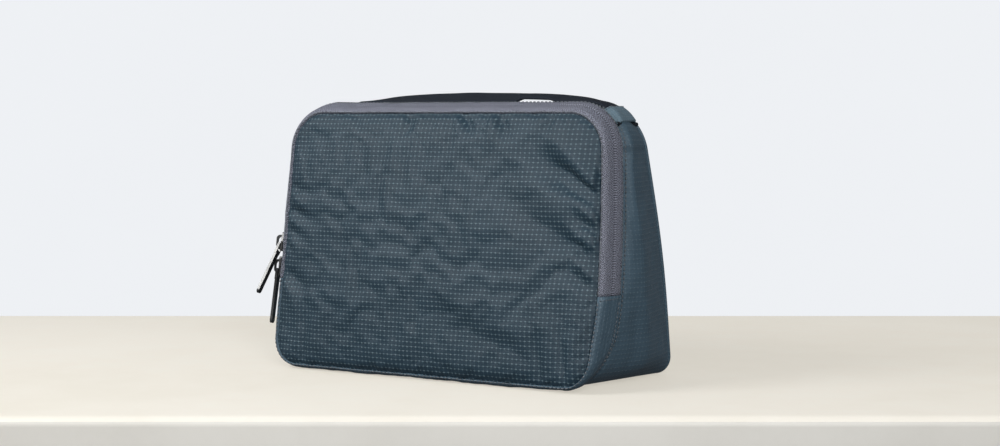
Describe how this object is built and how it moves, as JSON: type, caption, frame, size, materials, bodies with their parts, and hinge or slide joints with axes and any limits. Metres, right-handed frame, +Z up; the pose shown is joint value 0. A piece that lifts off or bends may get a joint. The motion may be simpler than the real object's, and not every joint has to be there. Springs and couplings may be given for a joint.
{
  "type": "zip-around toiletry bag",
  "caption": "Soft wedge-shaped shaving kit bag in light ripstop cloth: a front flap closed by a coil zip with twin sliders, a lined main compartment and a top strap.",
  "frame": {"origin": "centre of the base, on the surface that the bag stands on", "axes": "+X to the right of a person who faces the flap, +Y towards the back, +Z up"},
  "size_m": [0.2592, 0.1073, 0.185],
  "materials": {
    "outer_cloth": "ripstop nylon, semi-matt with a satin sheen",
    "foam": "matt",
    "board": "matt",
    "zip_tape": "matt woven",
    "zip_coil": "satin",
    "lining": "smooth satin",
    "mesh": "open net",
    "binding": "matt woven",
    "label": "satin",
    "webbing": "matt ribbed",
    "gunmetal": "dark plated, semi-gloss"
  },
  "bodies": {
    "shell": {"front_panel_lower": "outer_cloth", "front_foam_lower": "foam", "front_lining_lower": "lining", "lower_gusset": "outer_cloth", "body_zip_tape": "zip_tape", "body_zip_coil": "zip_coil", "zip_end_stops": "gunmetal", "side_panel_left": "outer_cloth", "side_panel_right": "outer_cloth", "top_panel": "outer_cloth", "base_panel": "outer_cloth", "base_board": "board", "rear_panel": "outer_cloth", "rear_foam": "foam", "body_lining": "lining", "rear_lining": "lining", "front_seam_binding": "binding", "rear_seam_binding": "binding", "top_seam_ridge_left": "binding", "top_seam_ridge_right": "binding", "rear_pocket_mesh": "mesh", "rear_pocket_elastic": "binding", "care_label": "label", "strap_end_left": "webbing", "strap_end_right": "webbing"},
    "lid": {"front_panel_upper": "outer_cloth", "front_foam_upper": "foam", "front_lining_upper": "lining", "lid_zip_tape": "zip_tape", "lid_zip_coil": "zip_coil", "lid_seam_binding": "binding", "lid_pocket_mesh": "mesh", "lid_pocket_binding": "binding"},
    "handle": {"handle_strap": "webbing"},
    "slider_upper": {"upper_slider": "gunmetal"},
    "slider_lower": {"lower_slider": "gunmetal"},
    "puller_upper": {"upper_puller": "gunmetal"},
    "puller_lower": {"lower_puller": "gunmetal"}
  },
  "joints": [
    {"name": "lid_fold", "type": "hinge", "parent": "shell", "child": "lid", "pos_m": [0, -0.0447, 0.06], "axis": [1, 0, 0], "range_deg": [0, 120]},
    {"name": "handle_lift", "type": "slide", "parent": "shell", "child": "handle", "axis": [0, 0, 1], "range_m": [0, 0.012]},
    {"name": "upper_slider_run", "type": "slide", "parent": "shell", "child": "slider_upper", "axis": [0.021, 0.1289, 0.9914], "range_m": [0, 0.057]},
    {"name": "lower_slider_run", "type": "slide", "parent": "shell", "child": "slider_lower", "axis": [0.021, 0.1289, 0.9914], "range_m": [-0.002, 0.001]},
    {"name": "upper_puller_swing", "type": "hinge", "parent": "slider_upper", "child": "puller_upper", "pos_m": [-0.12715, -0.03491, 0.08158], "axis": [-0.2358, 0.8521, -0.4672], "range_deg": [0, 100]},
    {"name": "lower_puller_swing", "type": "hinge", "parent": "slider_lower", "child": "puller_lower", "pos_m": [-0.1275, -0.03705, 0.06508], "axis": [-0.2445, 0.9622, -0.1199], "range_deg": [0, 112]}
  ]
}
